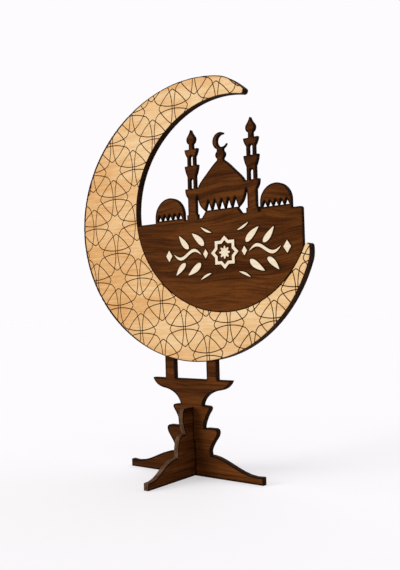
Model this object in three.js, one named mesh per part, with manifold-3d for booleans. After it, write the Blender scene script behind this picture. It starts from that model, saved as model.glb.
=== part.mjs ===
// Wooden mosque table ornament: a laser-cut crescent with a mosque skyline, on a stand of two slotted plates.
// Millimetres, +Z up. X runs along the main board and +Y is behind it. The origin lies on the surface that
// the ornament stands on, under the middle of the pedestal, where the two stand plates cross.

import * as THREE from 'three';
import { mergeVertices } from 'three/addons/utils/BufferGeometryUtils.js';
import Module from 'manifold-3d';

const wasm = await Module();
wasm.setup();

// Sheets and fits
const boardThickness = 4; // walnut of the main board
const crossThickness = 4; // walnut of the cross plate
const faceThickness = 2.5; // the crescent face and the mosque panel, glued on the front of the main board
const inlayThickness = 1.7;
const pocketDepth = 1.2; // how far an inlay is let into the mosque panel
const seam = 0.3; // clearance between cut edges that meet
const overlap = 1; // how far the parts of one board run into each other, and a cut runs past what it cuts

// Feet and pedestal of the main board: heights above the table, half widths from the middle
const footHalf = 63.8;
const footHeight = 5.8;
const bellTop = 16.8; // top of the foot curve, on both plates
const bellHalf = 19.5;
const waistHalf = 17.2;
const cupTop = 37.2;
const cupHalf = 24.6;
const cupNeck = 11.3;
const bowlTop = 53.8;
const bowlHalf = 18;
const bowlNeck = 10.5;
const trayHalf = 27; // where the tray of the capital turns up
const trayHeight = 66;
const capitalTop = 73.9;
const capitalHalf = 37.9;

// Cross plate
const crossFootHeight = 5.2;
const crossFront = { foot: 56.5, bell: 24, bellTop, inset: 0 };
const crossRear = { foot: 38, bell: 23, bellTop: 11, inset: 1.4 }; // short, hidden behind the main board
const lowerTierHalf = 22.4;
const lowerTierTop = 33;
const upperTierNeck = 12.2;
const upperTierHalf = 15.7;
const crossTop = 52.4;

// Posts
const postGapHalf = 15.6;
const postWidth = 9.5;
const postLength = 13.9; // between the capital and the foot of the crescent's oval
const postRoot = 10; // how far a post runs up behind the crescent face

// Crescent: an outer oval and an inner circle. Both swell a little towards three sides and draw in between
// them. The angle is that of the first of those sides, in degrees.
const outerHalfWidth = 113.25;
const outerHalfHeight = 109.35;
const outerX = 2.75;
const outerSwell = { by: 1.45, at: 54.4 };
const innerRadius = 81.5;
const innerInset = 2.35; // how far the circle stays inside the right side of the oval
const innerShiftZ = 9.15; // of the middle of the circle above the middle of the oval
const innerSwell = { by: 1, at: 59.5 };
const upperTip = { round: 2.4, at: 73.8, leaves: 72, facing: 50 }; // degrees; see crescentOutline
const lowerTip = { round: 2, at: -26.4, leaves: -21, facing: 5 };
const ledgeWidth = 6; // rim of the main board behind the edge of the mosque panel
const ledgeSetback = 6; // how far the ledge stops short of the panel's corners

// Mosque panel: heights above the panel's top edge, half widths from each part's own middle
const panelDrop = 9.4; // of the panel's top edge below the middle of the inner circle
const panelInset = 9.95; // how far the panel's right edge stays inside the right side of the inner circle
const panelCorner = 1.5;
const domeX = 3.35; // from the middle of the inner circle
const podiumHeight = 4.8;
const podiumHalf = 18.5;
const domeFootHalf = 14.6;
const domeWaistHeight = 18.5;
const domeHalf = 22.2;
const domeNeckHalf = 2.8;
const domeTop = 41.9;
const ballHeight = 45.9;
const ballHalf = 4.3;
const ballRise = 3.5;
const finialHeight = 56.3;
const finialRadius = 6.6;
const finialBite = 4.8; // radius of the circle that hollows the finial
const finialBiteShift = 2;
const finialMouth = [-24, 60]; // degrees between which the finial is open, so that its horns end blunt

// Minarets: each gallery has its height, half width, the flare below it and the shaft's half width under it
const minaretSpread = 27.35;
const plinthHalf = 5.2;
const plinthHeight = 3.5;
const galleries = [
  { top: 23.7, half: 6.3, flare: 6.2, shaft: 3.7 },
  { top: 41.5, half: 6.2, flare: 7.3, shaft: 3.7 },
  { top: 54.3, half: 5.9, flare: 5.4, shaft: 3.4 },
];
const galleryRim = 1.4;
const onionNeck = 1.9;
const onionBase = 58.2;
const onionHalf = 4.1;
const onionWidest = 61.9;
const minaretTop = 69.2;
const windowHalf = 1.6;
const windowHeight = 7.6;

// Small domes at the two ends, and the rows of teeth cut in all three domes
const leftDome = { x: -50.2, rise: 4.1, radius: 14.7 };
const rightDome = { x: 47, rise: 5.9, radius: 12.9 };
const toothCount = 5;
const mainTeeth = { x: 0.2, foot: 5.2, pitch: 6.15, width: 5.7, height: 7.9 };
const leftTeeth = { x: -50.4, foot: 1.5, pitch: 5.2, width: 4.8, height: 4.7 };
const rightTeeth = { x: 46.8, foot: 2.5, pitch: 4.6, width: 4.3, height: 4.5 };

// Inlaid ornament: a star in a ring, with the same leaves and lozenges on its left and right
const ornamentX = 5.55; // middle of the ornament from the middle of the inner circle
const ornamentDrop = 27.5; // middle of the ornament below the panel's top edge
const starRadius = 12.5;
const starRing = 3.4;
const rosetteRadius = 5;

// Widest gap between a facet and the true curve
const facet = 0.03;

// Heights and places that follow from the sizes above
const front = -boardThickness / 2; // front of the main board, where the face layer is glued
const faceFront = front - faceThickness;
const pocketFloor = faceFront + pocketDepth;
const slotMeet = crossTop / 2; // each plate is slotted for half of the shared height
const outerZ = capitalTop + postLength + outerHalfHeight;
const innerX = outerX + outerHalfWidth - innerInset - innerRadius;
const innerZ = outerZ + innerShiftZ;
const panelTop = innerZ - panelDrop;
const panelRight = innerRadius - panelInset; // from the middle of the inner circle

const at = (x, y) => new THREE.Vector2(x, y);
const rad = THREE.MathUtils.degToRad;

// Points on an elliptical arc from one angle to another in degrees, as few as the facet allows
function arc(x, y, halfWidth, halfHeight, from, to) {
  const step = Math.sqrt((8 * facet) / Math.max(halfWidth, halfHeight));
  const count = Math.max(2, Math.ceil(Math.abs(rad(to - from)) / step));
  const points = [];
  for (let i = 0; i <= count; i++) {
    const angle = rad(from + ((to - from) * i) / count);
    points.push(at(x + halfWidth * Math.cos(angle), y + halfHeight * Math.sin(angle)));
  }
  return points;
}

const swollenBy = (swell, angle) => swell.by * Math.cos(3 * rad(angle - swell.at));

// From the middle of the inner circle to its line, and points on that line or the gap inside it
const innerReach = (angle) => innerRadius + swollenBy(innerSwell, angle);
const innerPoint = (angle, gap) => at(
  innerX + (innerReach(angle) - gap) * Math.cos(rad(angle)),
  innerZ + (innerReach(angle) - gap) * Math.sin(rad(angle)),
);

function innerArc(gap, from, to) {
  const count = Math.ceil(Math.abs(rad(to - from)) / Math.sqrt((8 * facet) / innerRadius));
  return Array.from({ length: count + 1 }, (_, i) => innerPoint(from + ((to - from) * i) / count, gap));
}

// Angles of two points of that line: the left one this far below the middle, the right one this far beside it
function innerCorners(gap, drop, right) {
  const { radToDeg } = THREE.MathUtils;
  let [low, high] = [180, 330];
  for (let pass = 0; pass < 5; pass++) {
    low = 180 + radToDeg(Math.asin(drop / (innerReach(low) - gap)));
    high = 360 - radToDeg(Math.acos(right / (innerReach(high) - gap)));
  }
  return [low, high];
}

// Points on a curve that leaves the first point towards the second and reaches the last from the third
function bend(start, leave, arrive, end, count = 8) {
  return new THREE.CubicBezierCurve(start, leave, arrive, end).getPoints(count);
}

const flipped = (outline) => outline.map((p) => at(-p.x, p.y)).reverse();

// A half outline from the lowest point on the right to the top, with its mirror image on the left
const mirrored = (half) => [...half, ...flipped(half)];

// A solid sheet between two depths, cut to an outline whose y becomes the height
function sheet(outline, near, far, holes = []) {
  const distinct = (points) => points.filter((p, i) => p.distanceTo(points.at(i - 1)) > 1e-3);
  const shape = new THREE.Shape(distinct(outline));
  shape.holes = holes.map((hole) => new THREE.Path(distinct(hole)));
  const geometry = new THREE.ExtrudeGeometry(shape, { depth: far - near, bevelEnabled: false });
  const upright = new THREE.Matrix4().makeBasis(
    new THREE.Vector3(1, 0, 0), new THREE.Vector3(0, 0, 1), new THREE.Vector3(0, -1, 0),
  );
  return geometry.applyMatrix4(upright).translate(0, far, 0);
}

function solid(geometry) {
  geometry.deleteAttribute('normal');
  geometry.deleteAttribute('uv');
  const merged = mergeVertices(geometry, 1e-4);
  return new wasm.Manifold(new wasm.Mesh({
    numProp: 3,
    vertProperties: new Float32Array(merged.attributes.position.array),
    triVerts: new Uint32Array(merged.index.array),
  }));
}

function geometryOf(manifold) {
  const { vertProperties, triVerts } = manifold.getMesh();
  const geometry = new THREE.BufferGeometry();
  geometry.setAttribute('position', new THREE.BufferAttribute(vertProperties, 3));
  geometry.setIndex(new THREE.BufferAttribute(triVerts, 1));
  geometry.computeVertexNormals();
  return geometry;
}

const joined = (solids) => solids.reduce((whole, piece) => whole.add(piece));
const cut = (whole, tools) => tools.reduce((left, tool) => left.subtract(tool), whole);

// The crescent. Each tip is a small round end that touches the inner circle at the angle `at`. The outer oval
// is left at the angle `leaves`, and eases into the round end where that faces the angle `facing`.
function crescentOutline() {
  const tipCentre = (tip) => innerPoint(tip.at, -tip.round);
  const ovalPoint = (angle) => {
    const swell = swollenBy(outerSwell, angle);
    return at(
      outerX + (outerHalfWidth + swell) * Math.cos(rad(angle)),
      outerZ + (outerHalfHeight + swell) * Math.sin(rad(angle)),
    );
  };
  const ovalHeading = (angle) => at(
    -outerHalfWidth * Math.sin(rad(angle)), outerHalfHeight * Math.cos(rad(angle)),
  ).normalize();
  const easing = (tip) => {
    const centre = tipCentre(tip);
    const facing = at(Math.cos(rad(tip.facing)), Math.sin(rad(tip.facing)));
    const roundPoint = centre.clone().addScaledVector(facing, tip.round);
    const leavePoint = ovalPoint(tip.leaves);
    const reach = (tip === lowerTip ? 1 : -1) * roundPoint.distanceTo(leavePoint) / 3;
    const leaving = leavePoint.clone().addScaledVector(ovalHeading(tip.leaves), reach);
    const arriving = roundPoint.clone().addScaledVector(at(-facing.y, facing.x), -reach);
    return [leavePoint, leaving, arriving, roundPoint];
  };
  const low = tipCentre(lowerTip);
  const high = tipCentre(upperTip);
  const sweep = 360 + lowerTip.leaves - upperTip.leaves;
  const steps = Math.ceil(rad(sweep) / Math.sqrt((8 * facet) / outerHalfWidth));
  return [
    ...Array.from({ length: steps + 1 }, (_, i) => ovalPoint(upperTip.leaves + (sweep * i) / steps)),
    ...bend(...easing(lowerTip)),
    ...arc(low.x, low.y, lowerTip.round, lowerTip.round, lowerTip.facing, lowerTip.at + 180),
    ...innerArc(0, lowerTip.at, upperTip.at - 360),
    ...arc(high.x, high.y, upperTip.round, upperTip.round, upperTip.at - 180, upperTip.facing),
    ...bend(...easing(upperTip).reverse()),
  ];
}

// Feet, pedestal and capital of the main board, as turned from one profile. The offsets in the bends are
// their handles, which give each cup and bowl its swell.
function pedestalOutline() {
  return mirrored([
    at(footHalf, 0),
    ...bend(at(footHalf, footHeight), at(47, footHeight - 3), at(33, bellTop - 1), at(bellHalf, bellTop)),
    at(waistHalf, bellTop),
    ...bend(
      at(waistHalf - 0.4, bellTop + 3), at(waistHalf + 0.6, bellTop + 7),
      at(cupHalf - 3, cupTop - 9), at(cupHalf - 0.9, cupTop - 6), 6,
    ),
    ...bend(
      at(cupHalf - 0.2, cupTop - 4), at(cupHalf + 0.4, cupTop - 2), at(cupHalf - 0.6, cupTop - 0.2),
      at(cupHalf - 2.6, cupTop), 5,
    ),
    at(cupNeck + 4, cupTop),
    at(cupNeck, cupTop - 0.5),
    ...bend(
      at(cupNeck, cupTop + 0.8), at(cupNeck + 0.9, cupTop + 5),
      at(bowlHalf - 3.4, bowlTop - 7), at(bowlHalf - 0.9, bowlTop - 3.8), 6,
    ),
    ...bend(
      at(bowlHalf - 0.2, bowlTop - 2.6), at(bowlHalf + 0.4, bowlTop - 1.2), at(bowlHalf - 0.4, bowlTop - 0.3),
      at(bowlHalf - 1.8, bowlTop), 5,
    ),
    at(bowlNeck, bowlTop + 0.3),
    ...bend(
      at(bowlNeck, bowlTop + 0.3), at(bowlNeck + 1.2, bowlTop + 6.8),
      at(trayHalf - 8.5, trayHeight - 1), at(trayHalf, trayHeight),
    ),
    ...bend(
      at(trayHalf, trayHeight), at(trayHalf + 5.5, trayHeight + 0.8),
      at(capitalHalf - 1.6, capitalTop - 4.2), at(capitalHalf, capitalTop - 0.7), 6,
    ),
    at(capitalHalf, capitalTop),
  ]);
}

// One half of the cross plate, from the end of its foot up. It has plain steps where the main board has a cup
// and a bowl.
function crossPlateHalf({ foot, bell, bellTop: shoulder, inset }) {
  const lower = lowerTierHalf - inset;
  const upper = upperTierHalf - inset;
  const neck = upperTierNeck - inset;
  const rise = (foot - bell) * 0.47;
  const widest = crossTop - 6.5;
  return [
    at(foot, 0),
    ...bend(
      at(foot, crossFootHeight), at(foot - rise, crossFootHeight - 0.6),
      at(bell + rise, shoulder), at(bell, shoulder),
    ),
    at(lower, shoulder),
    ...bend(
      at(lower, shoulder), at(lower - 0.4, shoulder + 8),
      at(lower - 1.6, lowerTierTop), at(lower - 6, lowerTierTop),
    ),
    at(neck, lowerTierTop),
    ...bend(
      at(neck, lowerTierTop), at(neck + 1.4, lowerTierTop + 3.6),
      at(upper, crossTop - 12), at(upper, widest), 6,
    ),
    ...bend(
      at(upper, widest), at(upper, crossTop - 2.5), at(upper - 1.2, crossTop), at(upper - 3.6, crossTop), 6,
    ),
  ];
}

function rectangle(left, right, low, high) {
  return [at(left, low), at(right, low), at(right, high), at(left, high)];
}

function mainBoard() {
  const board = (outline) => solid(sheet(outline, -boardThickness / 2, boardThickness / 2));
  const postFoot = (trayHeight + capitalTop) / 2;
  const postHead = outerZ - outerHalfHeight + postRoot;
  const post = rectangle(postGapHalf, postGapHalf + postWidth, postFoot, postHead);
  const [from, to] = innerCorners(0, panelDrop + ledgeSetback, panelRight - ledgeSetback);
  const ledge = board([...innerArc(-overlap, from, to), ...innerArc(ledgeWidth, to, from)]);
  const slotHalf = crossThickness / 2 + seam;
  const slot = solid(sheet(
    rectangle(-slotHalf, slotHalf, -overlap, slotMeet + seam / 2), -boardThickness, boardThickness,
  ));
  const posts = [board(post), board(flipped(post))];
  return cut(joined([board(pedestalOutline()), ...posts, board(crescentOutline()), ledge]), [slot]);
}

function crossPlate() {
  const slotHalf = boardThickness / 2 + seam;
  const slot = solid(sheet(
    rectangle(-slotHalf, slotHalf, slotMeet - seam / 2, crossTop + overlap), -crossThickness, crossThickness,
  ));
  const outline = [...crossPlateHalf(crossRear), ...flipped(crossPlateHalf(crossFront))];
  const plate = solid(sheet(outline, -crossThickness / 2, crossThickness / 2));
  const turned = geometryOf(cut(plate, [slot]));
  const sideways = new THREE.Matrix4().makeBasis(
    new THREE.Vector3(0, 1, 0), new THREE.Vector3(-1, 0, 0), new THREE.Vector3(0, 0, 1),
  );
  return turned.applyMatrix4(sideways);
}

// The mosque panel, part by part. Each part is an outline on the panel's own heights, from its top edge up.
function panelBase() {
  const right = innerX + panelRight;
  return [
    ...innerArc(seam, ...innerCorners(seam, panelDrop, panelRight)),
    ...arc(right - panelCorner, panelTop - panelCorner, panelCorner, panelCorner, 0, 90),
  ];
}

function mainDome() {
  const side = new THREE.SplineCurve([
    at(domeFootHalf, podiumHeight - 0.4), at(domeHalf - 2.4, podiumHeight + 5), at(domeHalf, domeWaistHeight),
    at(domeHalf - 1.9, domeWaistHeight + 7), at(domeHalf - 9.7, domeTop - 8.4),
    at(domeNeckHalf + 4, domeTop - 3), at(domeNeckHalf, domeTop),
  ]).getPoints(30);
  return mirrored([...side, at(domeNeckHalf, ballHeight)]);
}

function podium() {
  return mirrored([at(podiumHalf, -seam), at(domeFootHalf, podiumHeight)]);
}

function minaret() {
  const half = [at(plinthHalf, -seam), at(plinthHalf, plinthHeight), at(galleries[0].shaft, plinthHeight)];
  for (const { top, half: reach, flare, shaft } of galleries) {
    half.push(...bend(
      at(shaft, top - flare), at(shaft, top - flare * 0.6), at(reach - 0.5, top - flare * 0.45),
      at(reach, top - galleryRim), 5,
    ));
    half.push(at(reach, top));
    const next = galleries[galleries.findIndex((g) => g.top === top) + 1];
    half.push(at(next ? next.shaft : onionNeck, top));
  }
  half.push(...bend(
    at(onionNeck, onionBase), at(onionHalf - 0.8, onionBase + 0.4), at(onionHalf, onionWidest - 1.6),
    at(onionHalf, onionWidest), 6,
  ));
  half.push(...bend(
    at(onionHalf, onionWidest), at(onionHalf, onionWidest + 2.4), at(onionNeck - 0.4, minaretTop - 4.2),
    at(0.25, minaretTop), 6,
  ));
  return mirrored(half);
}

function smallDome({ rise, radius }) {
  return [at(radius, -seam), ...arc(0, rise, radius, radius, 0, 180), at(-radius, -seam)];
}

// A window with a half-round head
function window(sill) {
  return [at(windowHalf, sill), ...arc(0, sill + windowHeight - windowHalf, windowHalf, windowHalf, 0, 180),
    at(-windowHalf, sill)];
}

function toothRow({ x, foot, pitch, width, height }) {
  return Array.from({ length: toothCount }, (_, i) => {
    const middle = x + (i - (toothCount - 1) / 2) * pitch;
    return [at(middle - width / 2, foot), at(middle + width / 2, foot), at(middle, foot + height)];
  });
}

// Ornament outlines, drawn around the ornament's own middle

// A stroke along +x, pointed at both ends. Its middle line and its half width are functions that take the
// share of the length from 0 to 1.
function stroke(length, count, middle, halfWidth) {
  const shares = Array.from({ length: count + 1 }, (_, i) => i / count);
  const below = shares.map((s) => at(s * length, middle(s) - halfWidth(s)));
  const above = shares.map((s) => at(s * length, middle(s) + halfWidth(s)));
  return [...below, ...above.reverse().slice(1, -1)];
}

// A leaf that is fullest near its foot and sways to one side
function leaf(length, halfWidth, sway) {
  return stroke(length, 14, (s) => sway * s * s, (s) => halfWidth * Math.sin(Math.PI * s ** 0.7) ** 0.8);
}

// A thin sliver that sways to one side
function sliver(length, halfWidth, sway) {
  return stroke(length, 14, (s) => sway * s * s, (s) => halfWidth * Math.sin(Math.PI * s) ** 0.8);
}

// A stem that bends one way and then back
function vine(length, halfWidth, swing) {
  const halfWidthAt = (s) => halfWidth * Math.sin(Math.PI * s) ** 0.6;
  return stroke(length, 20, (s) => swing * Math.sin(2 * Math.PI * s), halfWidthAt);
}

function lozenge(halfWidth, halfHeight) {
  return [at(halfWidth, 0), at(0, halfHeight), at(-halfWidth, 0), at(0, -halfHeight)];
}

// The outline of two equal squares, one turned by an eighth
function star(radius) {
  const valley = radius * Math.cos(rad(45)) / Math.cos(rad(22.5));
  return Array.from({ length: 16 }, (_, i) => {
    const reach = i % 2 ? valley : radius;
    return at(reach * Math.cos(rad(22.5 * i)), reach * Math.sin(rad(22.5 * i)));
  });
}

// A flower with eight petals
function rosette(radius) {
  const count = 48;
  return Array.from({ length: count }, (_, i) => {
    const angle = (2 * Math.PI * i) / count;
    const reach = radius * (0.8 + 0.2 * Math.cos(8 * angle));
    return at(reach * Math.cos(angle), reach * Math.sin(angle));
  });
}

function placed(outline, x, y, turn = 0) {
  return outline.map((p) => p.clone().rotateAround(at(0, 0), rad(turn)).add(at(x, y)));
}

// One side of the ornament, right of the star
const sideInlays = {
  inner_lozenge: placed(lozenge(2.3, 3.6), 17.6, 0),
  vine: placed(vine(27, 1.45, 3.4), 21.6, -0.5, 4),
  upper_leaf: placed(leaf(15, 2.5, -2.4), 19.2, 6.2, 52),
  outer_upper_leaf: placed(leaf(14, 2.3, 2.6), 33.6, 5, 38),
  lower_leaf: placed(leaf(15, 2.5, 2.6), 22.4, -6.6, -46),
  outer_lower_leaf: placed(leaf(13, 2.2, -2.2), 37, -6.2, -34),
  outer_lozenge: placed(lozenge(3.1, 4.6), 53.4, 0.4),
  upper_sliver: placed(sliver(11, 0.9, 2.4), 11.6, 15.6, 14),
  lower_sliver: placed(sliver(11, 0.9, -2.4), 12.4, -15, -12),
};

function inlayOutlines() {
  const inlays = [
    { name: 'inlay_star_ring', outline: star(starRadius), hole: star(starRadius - starRing) },
    { name: 'inlay_rosette', outline: rosette(rosetteRadius) },
  ];
  for (const [name, outline] of Object.entries(sideInlays)) {
    inlays.push({ name: `inlay_right_${name}`, outline });
    inlays.push({ name: `inlay_left_${name}`, outline: flipped(outline) });
  }
  return inlays;
}

// An ornament outline moved to the ornament's place on the mosque panel
const onPanel = (outline) => placed(outline, innerX + ornamentX, panelTop - ornamentDrop);

// An outline moved outwards by a gap, with its sharp corners kept short
function grown(outline, gap) {
  const furthest = 3 * Math.abs(gap);
  return outline.map((p, i) => {
    const before = p.clone().sub(outline.at(i - 1)).normalize();
    const after = outline[(i + 1) % outline.length].clone().sub(p).normalize();
    const out = at(before.y + after.y, -before.x - after.x);
    const shift = out.multiplyScalar(gap / Math.max(1 + before.dot(after), 0.15));
    return p.clone().add(shift.clampLength(0, furthest));
  });
}

function mosquePanel(inlays) {
  const panel = (outline, x) => solid(sheet(placed(outline, x, panelTop), faceFront, front));
  const opening = (outline, x) => solid(sheet(
    placed(outline, x, panelTop), faceFront - overlap, front + overlap,
  ));
  const axis = innerX + domeX;
  const mouthReach = 2 * finialRadius;
  const parts = [
    solid(sheet(panelBase(), faceFront, front)),
    panel(podium(), axis),
    panel(mainDome(), axis),
    panel(arc(0, ballHeight, ballHalf, ballRise, 0, 360), axis),
    panel(rectangle(-domeNeckHalf, domeNeckHalf, ballHeight, finialHeight - finialBite - overlap), axis),
    cut(panel(arc(0, finialHeight, finialRadius, finialRadius, 0, 360), axis), [
      opening(arc(finialBiteShift, finialHeight, finialBite, finialBite, 0, 360), axis),
      opening([at(0, finialHeight), ...arc(0, finialHeight, mouthReach, mouthReach, ...finialMouth)], axis),
    ]),
    ...[-1, 1].map((side) => panel(minaret(), axis + side * minaretSpread)),
    ...[leftDome, rightDome].map((dome) => panel(smallDome(dome), axis + dome.x)),
  ];
  const sills = [galleries[0].top, galleries[1].top];
  const openings = [
    ...[-1, 1].flatMap((side) => sills.map((sill) => opening(window(sill), axis + side * minaretSpread))),
    ...[mainTeeth, leftTeeth, rightTeeth].flatMap(toothRow).map((tooth) => opening(tooth, axis)),
  ];
  const pockets = inlays.map(({ outline, hole }) => {
    const islands = hole ? [onPanel(grown(hole, -seam))] : [];
    return solid(sheet(onPanel(grown(outline, seam)), faceFront - overlap, pocketFloor, islands));
  });
  return cut(joined(parts), [...openings, ...pockets]);
}

const finish = (color, roughness) => new THREE.MeshStandardMaterial({ color, roughness, metalness: 0 });
const standWalnut = finish(0x4f2d15, 0.6);
const panelWalnut = finish(0x55311b, 0.6);
const maple = finish(0xebbc84, 0.55);
const cream = finish(0xfff0d7, 0.5);

const ornament = new THREE.Group();

function add(name, geometry, material) {
  const mesh = new THREE.Mesh(geometry, material.clone());
  mesh.name = name;
  ornament.add(mesh);
}

const inlays = inlayOutlines();
add('main_board', geometryOf(mainBoard()), standWalnut);
add('cross_plate', crossPlate(), standWalnut);
add('crescent_face', geometryOf(solid(sheet(crescentOutline(), faceFront, front))), maple);
add('mosque_panel', geometryOf(mosquePanel(inlays)), panelWalnut);
for (const { name, outline, hole } of inlays) {
  const holes = hole ? [onPanel(hole)] : [];
  const piece = sheet(onPanel(outline), pocketFloor - inlayThickness, pocketFloor, holes);
  add(name, geometryOf(solid(piece)), cream);
}

export default ornament;
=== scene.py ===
# Looks for the wooden mosque table ornament: the crescent with its engraved pattern, the mosque panel with
# fuller minarets, walnut, maple and cream finishes, burnt rims and cut edges, camera, soft light and a pale
# floor. Metres, +Z up; the ornament faces -Y.

import math

import bmesh
import bpy
from mathutils import Matrix, Vector
from mathutils.kdtree import KDTree


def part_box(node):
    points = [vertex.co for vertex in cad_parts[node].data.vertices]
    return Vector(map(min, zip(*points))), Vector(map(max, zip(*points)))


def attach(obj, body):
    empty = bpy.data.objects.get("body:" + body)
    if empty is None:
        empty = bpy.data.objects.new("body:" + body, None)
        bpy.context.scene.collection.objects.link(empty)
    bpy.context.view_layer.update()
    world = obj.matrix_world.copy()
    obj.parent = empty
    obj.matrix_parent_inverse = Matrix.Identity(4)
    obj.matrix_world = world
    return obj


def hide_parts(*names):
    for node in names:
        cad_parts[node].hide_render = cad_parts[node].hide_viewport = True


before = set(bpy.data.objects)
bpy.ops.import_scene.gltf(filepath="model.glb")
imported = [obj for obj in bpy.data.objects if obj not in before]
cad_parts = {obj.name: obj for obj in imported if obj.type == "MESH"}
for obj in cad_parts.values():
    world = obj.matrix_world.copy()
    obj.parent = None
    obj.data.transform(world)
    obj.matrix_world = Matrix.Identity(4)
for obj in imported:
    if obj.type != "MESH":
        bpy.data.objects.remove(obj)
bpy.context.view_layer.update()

MM = 0.001
FACE_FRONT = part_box("crescent_face")[0].y  # front surface of the crescent and of the mosque panel

# Engraved pattern: rosettes and stars take turns on a square lattice, which leans a little on the crescent
# and grows finer to the right
PITCH = 22.0 * MM  # from a rosette to the next star
PATTERN_MIDDLE = Vector((-10.0, 200.0)) * MM  # the lattice's middle, on the crescent
ROSETTE = Vector((-83.4, -87.7)) * MM  # the rosette that the lattice is counted from, measured from there
FIRST_LINE, LAST_LINE = -2, 13  # columns and rows counted from it, enough to cover the crescent
PATTERN_LEAN = Matrix(((0.9965, -0.0312), (0.0062, 0.991)))
PATTERN_SHRINK = 0.717  # share by which it grows finer, per metre to the right
LOOP_REACH = 20.95 * MM  # half size of the loop round each star, to the middle of a side
LOOP_CORNER = 17.3 * MM  # how far its corners lie out, on both axes
LOOP_BLUNT = 0.1  # share of a half side that its blunt corners cut off
DIAMOND_REACH = 14.85 * MM  # half size of the diamond round each rosette, to a corner
DIAMOND_MIDDLE = 8.36 * MM  # how far the middles of its bulging sides lie out, on both axes
DIAMOND_BLUNT = 0.06
SIDE_POINTS = 10  # points on each side of a loop or a diamond
GROOVE_RADIUS = 0.43 * MM
GROOVE_RISE = 0.04 * MM  # the groove's middle line lies this far in front of the surface

# Rim along the crescent's outer line
RIM_BLACK = 0.7 * MM  # width of its black part
RIM_LEFT = 1.0 * MM  # how much wider that is at the far left
RIM_TOASTED = 1.8 * MM  # how far the brown beside it reaches
RIM_STEP = 0.15 * MM  # distance between the points that its width is measured from
RIM_WIDENS = (-25 * MM, -85 * MM)  # between these, from right to left

# Minarets of the mosque panel, in millimetres: heights above the panel's straight top edge, and half widths
MINARET_TIP = 69.2
PLINTH_HEIGHT = 3.5
BESIDE_WINDOWS = 2.2  # where the added wood starts, from the minaret's middle
# Each gallery: its top and half width, the height and the fullness of the cup below it, and the half width of
# the shaft below that
GALLERIES = [
    (23.7, 6.5, 7.4, 2.6, 3.95),
    (41.5, 6.4, 8.4, 1.7, 3.95),
    (54.3, 6.2, 6.2, 1.9, 3.75),
]
CUP_STEPS = 6
SKYLINE_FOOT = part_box("mosque_panel")[1].z - MINARET_TIP * MM  # height of the panel's straight top edge

# How the colour changes over a piece, with painted shade on the main board's lower left
GRAIN_SWING = 22.0 * MM  # how far the mosque panel's grain swings up and down
PANEL_PALER = (168 * MM, 130 * MM)  # heights between which the mosque panel grows lighter downwards
FOOT_SHADE_HEIGHTS = (54 * MM, 46 * MM)  # heights between which the painted shade on the main board's left side grows darker downwards
FOOT_SHADE_LEFT = (4 * MM, -12 * MM)  # that painted shade begins between these, from right to left, beside the cross plate
MAPLE_PALER = (-20 * MM, 90 * MM)  # X plus half of Z, between which the crescent grows paler

# Burnt rims of the flat faces, found by rounding the edges. The pairs say how flat the rounded surface still
# is where the burn begins and where it is full: 1 is flat.
RIM_ROUNDING = 2.6 * MM
WIDE_BURN = (0.999, 0.975)  # on the stand and the skyline, about a millimetre wide
NARROW_BURN = (0.975, 0.87)  # on the mosque panel below the skyline
SKYLINE_BLEND = 1.5 * MM  # height over which the one turns into the other
INLAY_ROUNDING = 0.4 * MM
INLAY_BURN = (0.992, 0.95)

# Fineness of the noise in burnt wood, per metre
SPECKS = 900.0
PATCHES = 160.0

# The photo's camera
CAMERA_PLACE = Vector((337.06, -429.61, 129.14)) * MM
CAMERA_YAW, CAMERA_PITCH, CAMERA_ROLL = -0.65049, 0.031577, 0.027538  # radians
CAMERA_LENS = 44.26  # on a sensor 36 mm wide

# Floor and backdrop. What the camera sees of the floor takes the lamps' light and shadow in part, and glows
# for the rest, so that its lit places have the backdrop's colour.
FLOOR_HALF = 6.0  # half its width
FLOOR_SHADED = 0.61
FLOOR_GLOW = 0.449
FLOOR_BOUNCE = 0.5  # grey of the floor that lights the ornament from below
SKY_STRENGTH = 0.3


# Shader nodes as expressions

class Socket:
    """A value in a material. The operators add Math nodes."""

    def __init__(self, tree, socket):
        self.tree = tree
        self.socket = socket

    def __add__(self, other):
        return self.tree.maths("ADD", self, other)

    def __radd__(self, other):
        return self.tree.maths("ADD", other, self)

    def __sub__(self, other):
        return self.tree.maths("SUBTRACT", self, other)

    def __rsub__(self, other):
        return self.tree.maths("SUBTRACT", other, self)

    def __mul__(self, other):
        return self.tree.maths("MULTIPLY", self, other)

    def __rmul__(self, other):
        return self.tree.maths("MULTIPLY", other, self)

    def __abs__(self):
        return self.tree.maths("ABSOLUTE", self)

    def smooth(self, low, high):
        """0 below low, 1 above high and a smooth step between them, or the other way round if low is above
        high."""
        rising = low < high
        ends = {1: min(low, high), 2: max(low, high), 3: float(not rising), 4: float(rising)}
        settings = {"interpolation_type": "SMOOTHSTEP"}
        return self.tree.add("ShaderNodeMapRange", settings, {0: self, **ends})[0]


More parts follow.
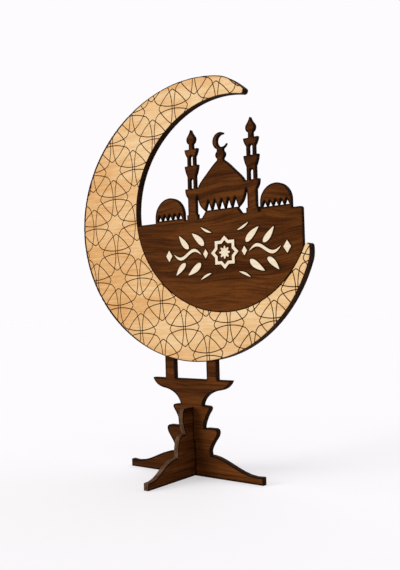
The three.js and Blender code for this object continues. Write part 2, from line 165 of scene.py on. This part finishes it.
class Tree:
    """The node tree of one material or of the world."""

    def __init__(self, owner):
        owner.use_nodes = True
        self.nodes = owner.node_tree.nodes
        self.links = owner.node_tree.links
        self.nodes.clear()

    def put(self, socket, value):
        if isinstance(value, Socket):
            self.links.new(value.socket, socket)
        else:
            socket.default_value = value

    def add(self, kind, settings=None, inputs=None):
        """Adds a node and returns its outputs, by number and by name. Settings come first, then the values
        or links of its inputs."""
        node = self.nodes.new(kind)
        for name, value in (settings or {}).items():
            if name == "stops":
                ramp = node.color_ramp
                while len(ramp.elements) < len(value):
                    ramp.elements.new(1.0)
                for element, (position, colour) in zip(ramp.elements, value):
                    element.position = position
                    element.color = colour
            else:
                setattr(node, name, value)
        for name, value in (inputs or {}).items():
            self.put(node.inputs[name], value)
        outputs = {}
        for number, socket in enumerate(node.outputs):
            outputs[number] = outputs[socket.name] = Socket(self, socket)
        return outputs

    def show(self, surface, kind="ShaderNodeOutputMaterial"):
        """Makes a shader the tree's result."""
        self.put(self.nodes.new(kind).inputs[0], surface)

    def maths(self, operation, *values):
        return self.add("ShaderNodeMath", {"operation": operation}, dict(enumerate(values)))[0]

    def axes(self, vector):
        return self.add("ShaderNodeSeparateXYZ", None, {0: vector})

    def mix(self, factor, first, second):
        """A colour between two colours."""
        return self.add("ShaderNodeMix", {"data_type": "RGBA"}, {0: factor, 6: first, 7: second})[2]

    def noise(self, place, scale, detail=2.0, roughness=0.5, distortion=0.0):
        inputs = {"Vector": place, "Scale": scale, "Detail": detail, "Roughness": roughness,
                  "Distortion": distortion}
        return self.add("ShaderNodeTexNoise", None, inputs)[0]

    def layer(self, place, shift, along, across, through, detail=2.0, roughness=0.6, distortion=0.0):
        """Noise for a wood's figure. Its fineness is given per millimetre along the grain, which runs on X,
        across it, on Z, and through the board, on Y."""
        inputs = {"Vector": place, "Scale": (along / MM, through / MM, across / MM), "Location": shift}
        stretched = self.add("ShaderNodeMapping", None, inputs)[0]
        return self.noise(stretched, 1.0, detail, roughness, distortion)


def linear(red, green, blue):
    """A colour given in sRGB, 0 to 255, as the linear values and the alpha that the shader takes."""
    parts = [v / 255 for v in (red, green, blue)]
    return (*(v / 12.92 if v <= 0.04045 else ((v + 0.055) / 1.055) ** 2.4 for v in parts), 1.0)


# Woods, each as dark, middle and light
STAND = (linear(61, 31, 10), linear(95, 51, 19), linear(123, 70, 31))
CROSS = (linear(49, 23, 7), linear(87, 46, 18), linear(121, 69, 32))
PANEL = (linear(52, 25, 8), linear(78, 40, 13), linear(109, 61, 24))
MAPLE = (linear(224, 165, 102), linear(239, 191, 134), linear(248, 212, 162))
# painted shade for the main board's lower left: the cross plate's shadow
FOOT_SHADE_COLOUR = linear(38, 17, 4)
CREAM = (linear(240, 218, 186), linear(250, 234, 208))

# Burnt places, as one colour or as dark and light
BURNT = linear(26, 11, 3)  # burnt rims of the flat faces
CHAR = (BURNT, linear(62, 36, 18))  # cut edges of the main board and the crescent
DEEP_CHAR = (linear(9, 3, 0), linear(28, 13, 5))  # darker cut edges of the mosque panel
TOAST_AND_SHEEN = (linear(77, 52, 35), linear(112, 84, 64))  # paler cut edges of the cross plate: less burnt, and partly a painted sheen of light on them
TOASTED_MAPLE = linear(178, 108, 54)
GROOVE = (linear(48, 23, 4), linear(80, 45, 13))
GROOVE_LIP = linear(140, 84, 32)
TOASTED_CREAM = linear(186, 138, 96)
INLAY_EDGE = linear(84, 52, 30)

PALE = linear(253, 251, 254)  # floor and backdrop


def grey(value):
    return (value, value, value, 1.0)


def flat_side(tree, axis):
    """1 on the flat faces of a board whose thickness runs along the axis, and 0 on its cut edges."""
    normal = tree.add("ShaderNodeTexCoord")["Normal"]
    return abs(tree.axes(normal)[axis]).smooth(0.6, 0.8)


def away_from_edges(tree, radius):
    """1 on a flat face, falling towards its cut edges, as if these were rounded with the radius."""
    rounded = tree.add("ShaderNodeBevel", {"samples": 8}, {"Radius": radius})[0]
    plain = tree.add("ShaderNodeNewGeometry")["Normal"]
    return tree.add("ShaderNodeVectorMath", {"operation": "DOT_PRODUCT"}, {0: rounded, 1: plain})["Value"]


def cut_edge(tree, place, colours):
    """The colour of a laser-cut edge: fine specks and patches between two colours."""
    dark, light = colours
    burn = tree.noise(place, SPECKS) * 0.5 + tree.noise(place, PATCHES) * 0.5
    return tree.mix(burn.smooth(0.42, 0.62), dark, light)


def wavy(tree, place, shift):
    """Object coordinates whose height swings slowly along the board, for grain that isn't straight."""
    swing = tree.layer(place, shift, along=0.016, across=0.022, through=0.02, detail=1.0, roughness=0.5)
    lift = tree.add("ShaderNodeCombineXYZ", None, {"Z": (swing - 0.5) * GRAIN_SWING})[0]
    return tree.add("ShaderNodeVectorMath", {"operation": "ADD"}, {0: place, 1: lift})[0]


def new_material(name):
    """A material, its empty node tree and its object coordinates."""
    material = bpy.data.materials.new(name)
    tree = Tree(material)
    return material, tree, tree.add("ShaderNodeTexCoord")["Object"]


def finish(tree, colour, roughness, specular, bump=None, bump_distance=0.0):
    """Ends a material in its shader. The bump, from 0 to 1, is its relief, as high as the distance."""
    inputs = {"Base Color": colour, "Roughness": roughness, "Specular IOR Level": specular}
    if bump is not None:
        relief = {"Strength": 1.0, "Distance": bump_distance, "Height": bump}
        inputs["Normal"] = tree.add("ShaderNodeBump", None, relief)[0]
    tree.show(tree.add("ShaderNodeBsdfPrincipled", None, inputs)[0])


def walnut(name, colours, edges, shift, grain_axis="X", mosque_panel=False, painted_foot_shade=False):
    """Oiled walnut: broad dark and light bands along the grain, thin streaks, pores, burnt rims and cut
    edges. On the mosque panel the grain swings, the wood grows lighter downwards, and the rim is burnt less
    below the skyline. The painted foot shade darkens the lower left of the main board beside the cross
    plate, a painted shadow of that plate."""
    material, tree, place = new_material(name)
    part = tree.axes(place)
    grain = place
    if mosque_panel:
        grain = wavy(tree, place, shift)
    if grain_axis == "Y":
        turned = {"Vector": grain, "Rotation": (0, 0, math.radians(90))}
        grain = tree.add("ShaderNodeMapping", None, turned)[0]
    broad = tree.layer(grain, shift, along=0.009, across=0.08, through=0.05, roughness=0.5, distortion=1.2)
    bands = tree.layer(grain, shift, along=0.018, across=0.33, through=0.2, distortion=0.8)
    streaks = tree.layer(grain, shift, along=0.026, across=0.95, through=0.5, distortion=0.4)
    fibres = tree.layer(grain, shift, along=0.085, across=2.6, through=1.0)
    pores = tree.layer(grain, shift, along=0.28, across=5.5, through=2.0, detail=1.0, roughness=0.5)
    figure = broad * 0.32 + bands * 0.22 + streaks * 0.28 + fibres * 0.18
    if mosque_panel:
        figure = figure + part["Z"].smooth(*PANEL_PALER) * 0.09
    dark, middle, light = colours
    stops = [(0.41, dark), (0.50, middle), (0.60, light)]
    colour = tree.add("ShaderNodeValToRGB", {"stops": stops}, {0: figure})[0]
    pore = pores.smooth(0.60, 0.70)
    vein = streaks.smooth(0.60, 0.68)
    colour = tree.mix(pore * 0.5, colour, dark)
    colour = tree.mix(vein * 0.45, colour, dark)
    # painted shade: the main board's lower left, beside the cross plate, darkened as that plate's shadow
    if painted_foot_shade:
        foot_shade = part["Z"].smooth(*FOOT_SHADE_HEIGHTS) * part["X"].smooth(*FOOT_SHADE_LEFT)
        colour = tree.mix(foot_shade * 0.5, colour, FOOT_SHADE_COLOUR)
    flatness = away_from_edges(tree, RIM_ROUNDING)
    burn = flatness.smooth(*WIDE_BURN)
    if mosque_panel:
        skyline = part["Z"].smooth(SKYLINE_FOOT - SKYLINE_BLEND, SKYLINE_FOOT)
        burn = flatness.smooth(*NARROW_BURN) * (1 - skyline) + burn * skyline
    flat = flat_side(tree, "X" if grain_axis == "Y" else "Y")
    colour = tree.mix(flat * burn, colour, BURNT)
    colour = tree.mix(1 - flat, colour, cut_edge(tree, place, edges))
    relief = fibres * 0.5 - pore * 0.5
    roughness = 0.62 + figure * 0.16
    finish(tree, colour, roughness, specular=0.02, bump=relief, bump_distance=0.12 * MM)
    return material


def maple(name):
    """Pale satin maple: soft bands and thin streaks along the grain, flecks, a black rim and burnt cut edges.
    The crescent is browner towards its left and lower side."""
    material, tree, place = new_material(name)
    part = tree.axes(place)
    shift = (3, 1, 2)
    broad = tree.layer(place, shift, along=0.016, across=0.06, through=0.05, roughness=0.5, distortion=0.8)
    streaks = tree.layer(place, shift, along=0.03, across=0.5, through=0.2, detail=3.0, distortion=0.4)
    flecks = tree.layer(place, shift, along=0.16, across=2.2, through=1.0, detail=1.0, roughness=0.5)
    paler = (part["X"] + part["Z"] * 0.5).smooth(*MAPLE_PALER)
    figure = broad * 0.30 + streaks * 0.30 + flecks * 0.20 + paler * 0.10 + 0.045
    dark, middle, light = MAPLE
    stops = [(0.38, dark), (0.50, middle), (0.61, light)]
    colour = tree.add("ShaderNodeValToRGB", {"stops": stops}, {0: figure})[0]
    rim = tree.add("ShaderNodeAttribute", {"attribute_name": "rim"})["Fac"]
    widened = part["X"].smooth(*RIM_WIDENS) * (RIM_LEFT / RIM_TOASTED)
    black = (rim - (1 - RIM_BLACK / RIM_TOASTED) + widened).smooth(-0.04, 0.04)
    colour = tree.mix(rim.smooth(0.0, 0.6) * 0.25, colour, TOASTED_MAPLE)
    colour = tree.mix(black, colour, BURNT)
    colour = tree.mix(1 - flat_side(tree, "Y"), colour, cut_edge(tree, place, CHAR))
    roughness = 0.55 + streaks * 0.15
    finish(tree, colour, roughness, specular=0.03, bump=flecks, bump_distance=0.05 * MM)
    return material


def engraving(name):
    """The floor and walls of the engraved lines, lighter where they meet the crescent's front."""
    material, tree, place = new_material(name)
    dark, light = GROOVE
    burnt = tree.mix(tree.noise(place, PATCHES).smooth(0.35, 0.7), dark, light)
    depth = tree.axes(place)["Y"] - FACE_FRONT
    colour = tree.mix(depth.smooth(0.02 * MM, 0.16 * MM), GROOVE_LIP, burnt)
    finish(tree, colour, roughness=0.8, specular=0.0)
    return material


def cream(name):
    """Cream inlay with a faint grain and toasted cut edges."""
    material, tree, place = new_material(name)
    grain = tree.layer(place, (7, 2, 5), along=0.05, across=0.9, through=0.3, detail=3.0, distortion=0.3)
    dark, light = CREAM
    colour = tree.mix(grain.smooth(0.3, 0.7), dark, light)
    flat = flat_side(tree, "Y")
    rim = away_from_edges(tree, INLAY_ROUNDING).smooth(*INLAY_BURN)
    colour = tree.mix(flat * rim * 0.5, colour, TOASTED_CREAM)
    colour = tree.mix(1 - flat, colour, INLAY_EDGE)
    roughness = 0.5 + grain * 0.2
    finish(tree, colour, roughness, specular=0.2, bump=grain, bump_distance=0.04 * MM)
    return material


# Pieces

def in_scene(name, data):
    holder = bpy.data.objects.new(name, data)
    bpy.context.scene.collection.objects.link(holder)
    return holder


def piece_from(name, shape):
    """A piece from a bmesh, which is used up."""
    mesh = bpy.data.meshes.new(name)
    shape.to_mesh(mesh)
    shape.free()
    return in_scene(name, mesh)


def finished_mesh(piece):
    """The mesh that a curve or a piece with modifiers comes to."""
    bpy.context.view_layer.update()
    return bpy.data.meshes.new_from_object(piece.evaluated_get(bpy.context.evaluated_depsgraph_get()))


def joined_copy(node):
    """A copy of a CAD node's mesh as a bmesh, with its loose triangles joined."""
    shape = bmesh.new()
    shape.from_mesh(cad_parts[node].data)
    bmesh.ops.remove_doubles(shape, verts=shape.verts, dist=0.001 * MM)
    return shape


def combine(piece, tools, operation):
    """Cuts the tools from a piece, or joins them to it, and removes them."""
    for tool in tools:
        modifier = piece.modifiers.new(tool.name, "BOOLEAN")
        modifier.operation = operation
        modifier.solver = "MANIFOLD"
        modifier.object = tool
    mesh = finished_mesh(piece)
    piece.modifiers.clear()
    piece.data = mesh
    for tool in tools:
        bpy.data.objects.remove(tool)
    mesh.materials.clear()
    for polygon in mesh.polygons:
        polygon.use_smooth = False
    return mesh


def on_crescent(point):
    """Where a point of the lattice lies on the crescent, as X and Z."""
    return PATTERN_MIDDLE + (PATTERN_LEAN @ point) / (1 + PATTERN_SHRINK * point.x)


def lattice_points(first_column, first_row):
    """Every second column and row of the lattice from the given ones on, near the crescent."""
    low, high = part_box("crescent_face")
    points = []
    for column in range(FIRST_LINE + first_column, LAST_LINE + 1, 2):
        for row in range(FIRST_LINE + first_row, LAST_LINE + 1, 2):
            point = ROSETTE + Vector((column, row)) * PITCH
            x, z = on_crescent(point)
            if low.x - PITCH < x < high.x + PITCH and low.z - PITCH < z < high.z + PITCH:
                points.append(point)
    return points


def bulging_square(corner, middle, blunt, turned):
    """Points of a closed line with four bulging sides. The corner and the middle of a side are given by
    their distances from the centre along an axis; a turned one has its corners on the axes. Blunt is the
    share of a half side that is cut off at the corners."""
    points = []
    for side in range(4):
        turn = Matrix.Rotation(math.radians(90 * side), 2)
        for i in range(SIDE_POINTS):
            t = (1 - blunt) * (2 * i / (SIDE_POINTS - 1) - 1)
            if turned:
                start, end, out = Vector((corner, 0)), Vector((0, corner)), Vector((middle, middle))
                flat = (start + end) / 2
                point = start.lerp(end, (t + 1) / 2) + (out - flat) * (1 - t * t)
            else:
                point = Vector((-corner * t, corner + (middle - corner) * (1 - t * t)))
            points.append(turn @ point)
    return points


def engraving_tool(name, centres, outline):
    """Closed lines with a four-sided section, one round each centre, to cut the engraved lines with."""
    curve = bpy.data.curves.new(name, "CURVE")
    curve.dimensions = "3D"
    curve.bevel_depth = GROOVE_RADIUS
    curve.bevel_resolution = 0
    for centre in centres:
        spline = curve.splines.new("POLY")
        spline.points.add(len(outline) - 1)
        spline.use_cyclic_u = True
        for point, offset in zip(spline.points, outline):
            x, z = on_crescent(centre + offset)
            point.co = (x, FACE_FRONT - GROOVE_RISE, z, 1.0)
    carrier = in_scene(name, curve)
    mesh = finished_mesh(carrier)
    bpy.data.objects.remove(carrier)
    return in_scene(name, mesh)


def rim_rings(shape):
    """Cuts two narrow rings round the crescent's front. Returns points along its outer line and tips."""
    front = [face for face in shape.faces if face.normal.y < -0.99]
    inside = set(front)
    low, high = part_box("crescent_face")
    middle = (low + high) / 2
    outline = []
    for edge in shape.edges:
        walls = [face for face in edge.link_faces if face not in inside]
        if len(walls) != 1 or walls[0].normal.dot(edge.verts[0].co - middle) < 0:
            continue
        start, end = (vertex.co for vertex in edge.verts)
        pieces = max(1, round((end - start).length / RIM_STEP))
        outline += [start.lerp(end, i / pieces) for i in range(pieces)]
    front = bmesh.ops.dissolve_faces(shape, faces=front)["region"]
    for width in (RIM_BLACK, RIM_TOASTED - RIM_BLACK):
        bmesh.ops.inset_region(shape, faces=front, thickness=width, use_even_offset=True, use_boundary=True)
    bmesh.ops.triangulate(shape, faces=front)
    return outline


def mark_rim(mesh, outline):
    """Gives the mesh an attribute that falls from 1 at the outline to 0 where the toasted rim ends."""
    tree = KDTree(len(outline))
    for i, point in enumerate(outline):
        tree.insert(point, i)
    tree.balance()
    rim = mesh.attributes.new("rim", "FLOAT", "POINT")
    for vertex in mesh.vertices:
        distance = tree.find(vertex.co)[2]
        rim.data[vertex.index].value = max(0.0, 1 - distance / RIM_TOASTED)


def engraved_crescent(face_material, line_material):
    """A copy of the crescent face with the pattern cut into its front."""
    shape = joined_copy("crescent_face")
    outline = rim_rings(shape)
    crescent = piece_from("engraved_crescent", shape)
    loop = bulging_square(LOOP_CORNER, LOOP_REACH, LOOP_BLUNT, turned=False)
    diamond = bulging_square(DIAMOND_REACH, DIAMOND_MIDDLE, DIAMOND_BLUNT, turned=True)
    tools = [
        engraving_tool("loops", lattice_points(1, 0), loop),
        engraving_tool("other_loops", lattice_points(0, 1), loop),
        engraving_tool("diamonds", lattice_points(0, 0) + lattice_points(1, 1), diamond),
    ]
    cut = combine(crescent, tools, "DIFFERENCE")
    cut.materials.append(face_material)
    cut.materials.append(line_material)
    for polygon in cut.polygons:
        in_groove = 0.2 < -polygon.normal.y < 0.95  # only the grooves' walls slant
        polygon.material_index = 1 if in_groove else 0
    mark_rim(cut, outline)
    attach(crescent, "root")
    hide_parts("crescent_face")


def minaret_side(side):
    """Outline of one side of a minaret: straight shafts under three cup-shaped galleries."""
    points = [(BESIDE_WINDOWS, PLINTH_HEIGHT)]
    foot = PLINTH_HEIGHT
    for top, reach, cup, fullness, shaft in GALLERIES:
        points.append((shaft, foot))
        for i in range(CUP_STEPS + 1):
            below = 1 - i / CUP_STEPS
            points.append((reach - (reach - shaft) * below ** fullness, top - cup * below))
        foot = top
    points.append((BESIDE_WINDOWS, foot))
    return [Vector((side * x, z)) * MM for x, z in points]


def cupped_panel(material):
    """A copy of the mosque panel whose minarets have fuller galleries and shafts."""
    shape = joined_copy("mosque_panel")
    low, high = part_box("mosque_panel")
    tips = [vertex.co.x for vertex in shape.verts if vertex.co.z > high.z - 0.01 * MM]
    between = (min(tips) + max(tips)) / 2
    left = [x for x in tips if x < between]
    right = [x for x in tips if x > between]
    panel = piece_from("cupped_panel", shape)
    sides = bmesh.new()
    for axis in (sum(left) / len(left), sum(right) / len(right)):
        for side in (-1, 1):
            corners = [sides.verts.new((axis + x, low.y, SKYLINE_FOOT + z)) for x, z in minaret_side(side)]
            flat = sides.faces.new(corners)
            grown = bmesh.ops.extrude_face_region(sides, geom=[flat], use_keep_orig=True)["geom"]
            moved = [part for part in grown if isinstance(part, bmesh.types.BMVert)]
            bmesh.ops.translate(sides, verts=moved, vec=(0, high.y - low.y, 0))
    bmesh.ops.recalc_face_normals(sides, faces=sides.faces)
    combine(panel, [piece_from("minaret_sides", sides)], "UNION").materials.append(material)
    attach(panel, "root")
    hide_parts("mosque_panel")


def dress(node, material):
    """Gives a CAD node its finish."""
    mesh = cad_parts[node].data
    mesh.materials.clear()
    mesh.materials.append(material)


# the main board gets painted shade on its lower left, beside the cross plate
dress("main_board", walnut("main_board_walnut", STAND, CHAR, shift=(11, 4, 2), painted_foot_shade=True))
# the cross plate's cut edges are paler, partly a painted sheen
dress("cross_plate", walnut("cross_plate_walnut", CROSS, TOAST_AND_SHEEN, shift=(31, 8, 6), grain_axis="Y"))
cupped_panel(walnut("mosque_panel_walnut", PANEL, DEEP_CHAR, shift=(57, 3, 9), mosque_panel=True))
inlay_cream = cream("inlay_cream")
for node_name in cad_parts:
    if node_name.startswith("inlay_"):
        dress(node_name, inlay_cream)
engraved_crescent(maple("crescent_maple"), engraving("engraved_lines"))


# Camera, floor and light

def photograph_camera():
    camera = bpy.data.cameras.new("camera")
    camera.sensor_width = 36.0
    camera.lens = CAMERA_LENS
    camera.clip_start = 0.05
    camera.clip_end = 50.0
    holder = in_scene("camera", camera)
    yaw, pitch, roll = CAMERA_YAW, CAMERA_PITCH, CAMERA_ROLL
    forward = Vector((math.sin(yaw) * math.cos(pitch), math.cos(yaw) * math.cos(pitch), math.sin(pitch)))
    right = Vector((math.cos(yaw), -math.sin(yaw), 0))
    down = forward.cross(right)
    right, down = (math.cos(roll) * right + math.sin(roll) * down,
                   math.cos(roll) * down - math.sin(roll) * right)
    turn = Matrix((right, -down, -forward)).transposed()
    holder.matrix_world = Matrix.Translation(CAMERA_PLACE) @ turn.to_4x4()
    bpy.context.scene.camera = holder


def seen_directly(tree):
    """1 where the camera, a reflection or a glass looks at the floor or the backdrop, 0 for their light."""
    ray = tree.add("ShaderNodeLightPath")
    seen = tree.maths("MAXIMUM", ray["Is Camera Ray"], ray["Is Glossy Ray"])
    return tree.maths("MAXIMUM", seen, ray["Is Transmission Ray"])


def pale_floor():
    shape = bmesh.new()
    bmesh.ops.create_grid(shape, x_segments=1, y_segments=1, size=FLOOR_HALF)
    floor = piece_from("floor", shape)
    material = bpy.data.materials.new("pale_floor")
    tree = Tree(material)
    pale_share = (*(FLOOR_SHADED * v for v in PALE[:3]), 1.0)
    bounce = tree.add("ShaderNodeBsdfDiffuse", None, {0: grey(FLOOR_BOUNCE)})[0]
    shaded = tree.add("ShaderNodeBsdfDiffuse", None, {0: pale_share})[0]
    glow = tree.add("ShaderNodeEmission", None, {0: PALE, 1: FLOOR_GLOW})[0]
    seen = tree.add("ShaderNodeAddShader", None, {0: shaded, 1: glow})[0]
    tree.show(tree.add("ShaderNodeMixShader", None, {0: seen_directly(tree), 1: bounce, 2: seen})[0])
    floor.data.materials.append(material)


def sun(name, azimuth, elevation, strength, angle):
    """A lamp as far away as the sun. Azimuth 0 shines from -Y and 90 from +X, in degrees."""
    light = bpy.data.lights.new(name, "SUN")
    light.energy = strength
    light.angle = math.radians(angle)
    holder = in_scene(name, light)
    a, e = math.radians(azimuth), math.radians(elevation)
    back = Vector((math.sin(a) * math.cos(e), -math.cos(a) * math.cos(e), math.sin(e)))
    holder.rotation_mode = "QUATERNION"
    holder.rotation_quaternion = back.to_track_quat("Z", "Y")


def white_world():
    world = bpy.data.worlds.new("world")
    bpy.context.scene.world = world
    tree = Tree(world)
    sky = tree.add("ShaderNodeBackground", None, {0: grey(1.0), 1: SKY_STRENGTH})[0]
    backdrop = tree.add("ShaderNodeBackground", None, {0: PALE, 1: 1.0})[0]
    both = tree.add("ShaderNodeMixShader", None, {0: seen_directly(tree), 1: sky, 2: backdrop})[0]
    tree.show(both, "ShaderNodeOutputWorld")


photograph_camera()
pale_floor()
sun("key", azimuth=-38.0, elevation=12.0, strength=2.6, angle=40.0)
sun("top", azimuth=190.0, elevation=62.0, strength=1.5, angle=110.0)
white_world()
bpy.context.scene.view_settings.view_transform = "Standard"
